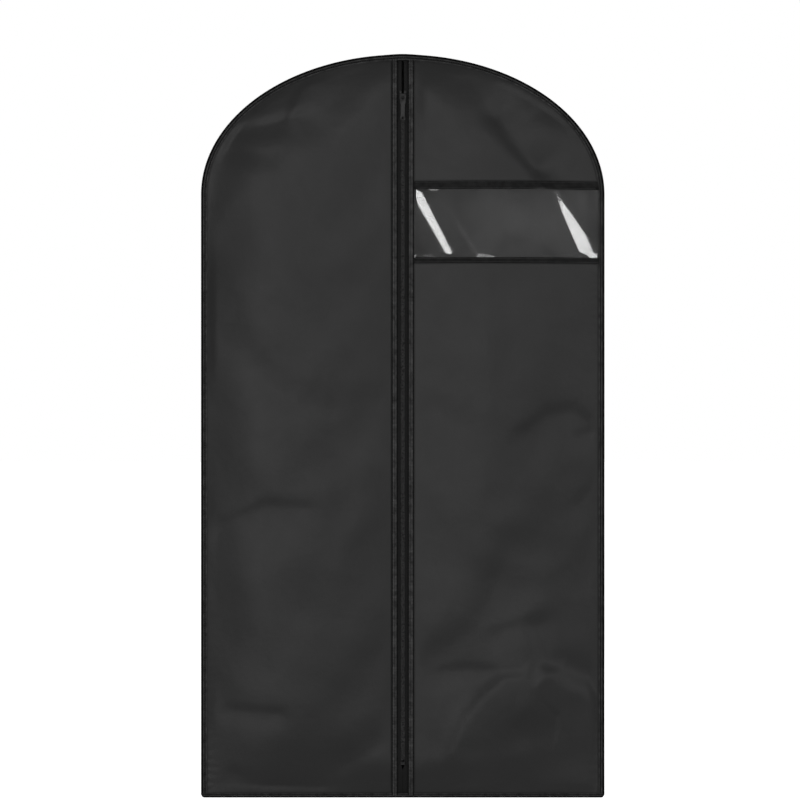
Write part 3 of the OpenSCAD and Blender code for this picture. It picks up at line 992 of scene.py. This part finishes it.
def wire(name, path, radius, around, material):
    """A round wire along a path that mostly runs across Z."""
    ahead = np.gradient(path, axis=0)
    ahead /= np.linalg.norm(ahead, axis=1)[:, None]
    up = np.array([0.0, 0.0, 1.0]) - ahead * ahead[:, 2:3]
    up /= np.linalg.norm(up, axis=1)[:, None]
    right = np.cross(ahead, up)
    angle = np.linspace(0, 2 * math.pi, around, endpoint=False)[None, :, None]
    points = path[:, None, :] + radius * (np.cos(angle) * right[:, None, :] + np.sin(angle) * up[:, None, :])
    quads, caps = tube_faces(len(path), around)
    obj = make_object(name, points, quads + caps, material)
    outward(obj)
    return obj


def finish_cad_node(name, material, bevel):
    """A metal part keeps its CAD solid, with rounded edges."""
    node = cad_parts[name]
    node.data.materials.clear()
    node.data.materials.append(MATERIALS[material])
    weld = node.modifiers.new("weld", "WELD")
    weld.merge_threshold = 1e-6
    round_off = node.modifiers.new("round", "BEVEL")
    round_off.width = bevel
    round_off.segments = 3
    round_off.limit_method = "ANGLE"
    round_off.angle_limit = math.radians(35)
    round_off.harden_normals = True


def make_stops():
    for name, body, bevel in (
        ("left_top", "left_flap", 0.4 * MM),
        ("right_top", "right_flap", 0.4 * MM),
        ("bottom", "shell", 0.56 * MM),
    ):
        clip = pressed_clip(f"{name}_clip", *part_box(f"{name}_stop"), bevel)
        settle(clip, body, "zip_stop", f"{name}_stop")


def pressed_clip(name, low, high, bevel):
    """A pressed metal clip: a rounded block with a pinch across its middle."""
    bm = bmesh.new()
    bmesh.ops.create_cube(bm, size=1.0)
    bmesh.ops.subdivide_edges(bm, edges=bm.edges[:], cuts=3, use_grid_fill=True)
    for v in bm.verts:
        if v.co.y < 0:
            v.co.y *= 1 - 0.3 * math.exp(-((v.co.z / 0.2) ** 2))
        v.co = (high + low) / 2 + v.co * (high - low)
    sharp = [e for e in bm.edges if e.calc_face_angle(0) > 1.0]
    bmesh.ops.bevel(bm, geom=sharp, offset=bevel, segments=3, affect="EDGES", profile=0.5)
    mesh = bpy.data.meshes.new(name)
    bm.to_mesh(mesh)
    bm.free()
    mesh.materials.append(MATERIALS["enamel"])
    mesh.shade_smooth()
    return add_to_scene(name, mesh)


# ---- Stitches --------------------------------------------------------------------------

STITCH = 2.7 * MM
STITCH_GAP = 0.7 * MM
THREAD_R = 0.26 * MM
FACING_SEAM = 1.3 * MM            # from the edge of a facing to its stitches
WINDOW_SEAM = 1.6 * MM            # from the edge of a window tape to its stitches

# Rings of a stitch: share of its length, share of the thread's radius, height in mm over its end points
STITCH_RINGS = [(0.0, 0.5, -0.15), (0.18, 1.0, 0.1), (0.5, 1.05, 0.16), (0.82, 1.0, 0.1), (1.0, 0.5, -0.15)]


def stitch_ends(line):
    """Start points and end points of the stitches along a line, and how far along it they start."""
    steps = lengths_along(line)
    starts = np.arange(STITCH_GAP, steps[-1] - STITCH, STITCH + STITCH_GAP)
    first, last = (
        np.stack([np.interp(places, steps, line[:, axis]) for axis in range(3)], -1)
        for places in (starts, starts + STITCH)
    )
    return first, last, starts


def make_stitches(name, lines, body, facing):
    """Small padded stitches along lines; facing is the side of the cloth they are on: -1 front, 1 back."""
    first, last, places = (np.concatenate(part) for part in zip(*map(stitch_ends, lines)))
    ahead = last - first
    ahead /= np.linalg.norm(ahead, axis=1)[:, None]
    out = np.zeros_like(ahead)
    out[:, 1] = facing
    side = np.cross(ahead, out)
    side /= np.linalg.norm(side, axis=1)[:, None]
    around = 6
    points, run = [], []
    for share, size, lift in STITCH_RINGS:
        centre = first + share * (last - first) + lift * MM * out
        for angle in np.linspace(0, 2 * math.pi, around, endpoint=False):
            points.append(centre + THREAD_R * size * (math.cos(angle) * side + math.sin(angle) * out))
            run.append(np.stack(np.broadcast_arrays(places + share * STITCH, 0.0, 0.0), -1))
    per_stitch = len(points)
    faces = []
    for kind in tube_faces(len(STITCH_RINGS), around):
        for number in range(len(first)):
            faces += (np.array(kind) + per_stitch * number).tolist()
    obj = make_object(name, np.stack(points, 1), faces, "thread", np.stack(run, 1))
    outward(obj)
    settle(obj, body, "binding_tape")


def on_front(x, z):
    """Points on top of a tape that is sewn on the front leaves."""
    x, z = np.broadcast_arrays(x, z)
    return np.stack([x, front_surface(x, z) - (CLOTH_T + TAPE_GAP + TAPE_T), z], -1)


def flat_line(x, y, z):
    return np.stack(np.broadcast_arrays(x, y, z), -1)


def stitch_facings():
    z = spaced(HEM_TOP + 1 * MM, -EDGE_W - 1 * MM, 3 * MM)
    for side, name in ((-1, "left"), (1, "right")):
        lines = [on_front(side * x, z) for x in (ZIP_EDGE + FACING_SEAM, FACING_EDGE - FACING_SEAM)]
        make_stitches(f"{name}_facing_stitches", lines, f"{name}_flap", -1)


def stitch_window():
    x = spaced(FACING_EDGE + 1.5 * MM, HALF_W - EDGE_W - 0.5 * MM, 3 * MM)
    for name, low, high in (("top", WINDOW_TOP, TOP_TAPE_Z), ("bottom", BOTTOM_TAPE_Z, WINDOW_BOTTOM)):
        lines = [on_front(x, z) for z in (low + WINDOW_SEAM, high - WINDOW_SEAM)]
        make_stitches(f"window_{name}_stitches", lines, "right_flap", -1)


def stitch_outline():
    hem_x = spaced(-HALF_W + 3 * MM, HALF_W - 3 * MM, 3 * MM)
    hem_z = HEM_Z + HEM_W * STITCH_SHARE
    for facing, word in ((-1, "front"), (1, "back")):
        for side, name in ((-1, "left"), (1, "right")):
            x, z = outline(EDGE_W * STITCH_SHARE, side).T
            line = flat_line(x, facing * STITCH_Y, z)
            make_stitches(f"{name}_edge_{word}_stitches", [line], "shell", facing)
        line = flat_line(hem_x, facing * STITCH_Y, hem_z)
        make_stitches(f"hem_{word}_stitches", [line], "shell", facing)


def stitch_crown():
    x = np.linspace(-SLOT_HALF + 1 * MM, SLOT_HALF - 1 * MM, 41)
    z = arch(x, EDGE_W * STITCH_SHARE)
    for facing, word, (away, _, floor) in ((-1, "front", SLOT_FRONT), (1, "back", SLOT_BACK)):
        y = away + facing * (slot_bulge(x) + floor)
        make_stitches(f"slot_{word}_stitches", [flat_line(x, y, z)], "shell", facing)


# ---- Stage, light and camera -----------------------------------------------------------

def area_light(name, location, target, size, power):
    data = bpy.data.lights.new(name, "AREA")
    data.shape = "RECTANGLE"
    data.size, data.size_y = size
    data.energy = power
    light = add_to_scene(name, data)
    light.location = location
    light.rotation_euler = (Vector(target) - Vector(location)).to_track_quat("-Z", "Y").to_euler()


def make_world():
    """Soft light from all round; the camera itself sees plain white."""
    world = bpy.data.worlds.new("studio")
    bpy.context.scene.world = world
    world.use_nodes = True
    tree = world.node_tree
    light = tree.nodes["Background"]
    seen = tree.nodes.new("ShaderNodeBackground")
    for background, strength in ((light, 0.24), (seen, 1.0)):
        background.inputs["Color"].default_value = grey(1.0)
        background.inputs["Strength"].default_value = strength
    mix = tree.nodes.new("ShaderNodeMixShader")
    path = tree.nodes.new("ShaderNodeLightPath")
    tree.links.new(path.outputs["Is Camera Ray"], mix.inputs["Fac"])
    tree.links.new(light.outputs[0], mix.inputs[1])
    tree.links.new(seen.outputs[0], mix.inputs[2])
    tree.links.new(mix.outputs[0], tree.nodes["World Output"].inputs["Surface"])


FLOOR_HALF = 30.0
FLOOR_Z = HEM_Z - 0.12


def make_floor():
    """A pale floor: it takes the bag's soft shadow close by and melts into the white background far off."""
    n = Nodes("pale_floor")
    away = n.add("ShaderNodeVectorMath", {0: n.where()}, operation="LENGTH").outputs["Value"]
    glow = n.remap(away, 0.55, 1.0, 1.2, 1.45)
    camera_ray = n.add("ShaderNodeLightPath").outputs["Is Camera Ray"]
    strength = n.remap(camera_ray, 0.1, glow)
    n.set(Base_Color=grey(0.55), Roughness=0.9, Emission_Color=grey(1.0), Emission_Strength=strength)
    corners = [(x * FLOOR_HALF, y * FLOOR_HALF, FLOOR_Z) for x, y in ((-1, -1), (1, -1), (1, 1), (-1, 1))]
    mesh = bpy.data.meshes.new("floor")
    mesh.from_pydata(corners, [], [(0, 1, 2, 3)])
    mesh.materials.append(n.material)
    add_to_scene("floor", mesh)


def make_lights():
    middle = (0, 0, HEM_Z / 2)
    area_light("front", (-0.2, -9.0, 2.5), middle, (4.2, 2.4), 84)
    area_light("low_front", (0.0, -9.0, -0.75), middle, (4.5, 0.7), 16)
    area_light("key", (-2.7, -2.4, 1.2), middle, (1.6, 1.8), 3)
    area_light("fill", (3.4, -1.9, 0.6), middle, (1.6, 2.2), 9)
    area_light("back_light", (1.8, 3.2, 0.8), middle, (2.0, 2.0), 40)
    area_light("back_fill", (-2.4, 2.6, -0.2), middle, (1.6, 2.0), 26)
    area_light("strip_left", (-2.0, -4.3, -0.44), (0.05, 0, -0.25), (0.62, 0.9), 18)
    area_light("strip_right", (3.2, -3.9, 0.6), (0.26, 0, -0.25), (0.5, 0.9), 14)


SPAN = 1.1897                     # width of the picture at the bag
VIEW_CENTRE = (-0.0041, -0.5138)  # X and Z of the picture's middle


def make_camera():
    """Straight on, through a long lens."""
    data = bpy.data.cameras.new("camera")
    data.lens = 135
    camera = add_to_scene("camera", data)
    centre_x, centre_z = VIEW_CENTRE
    camera.location = (centre_x, -SPAN * data.lens / data.sensor_width, centre_z)
    camera.rotation_euler = (math.pi / 2, 0, 0)
    bpy.context.scene.camera = camera


# ---- Build -----------------------------------------------------------------------------

make_front_leaves()
make_back_leaf()
make_facings_and_zip_tapes()
make_window()
make_bindings()
make_slot_trims()
make_coils()
make_stops()
finish_cad_node("zip_slider", "enamel", 0.25 * MM)
finish_cad_node("pull_tab", "enamel", 0.3 * MM)
stitch_facings()
stitch_window()
stitch_outline()
stitch_crown()
make_world()
make_floor()
make_lights()
make_camera()
bpy.context.scene.view_settings.view_transform = "Standard"
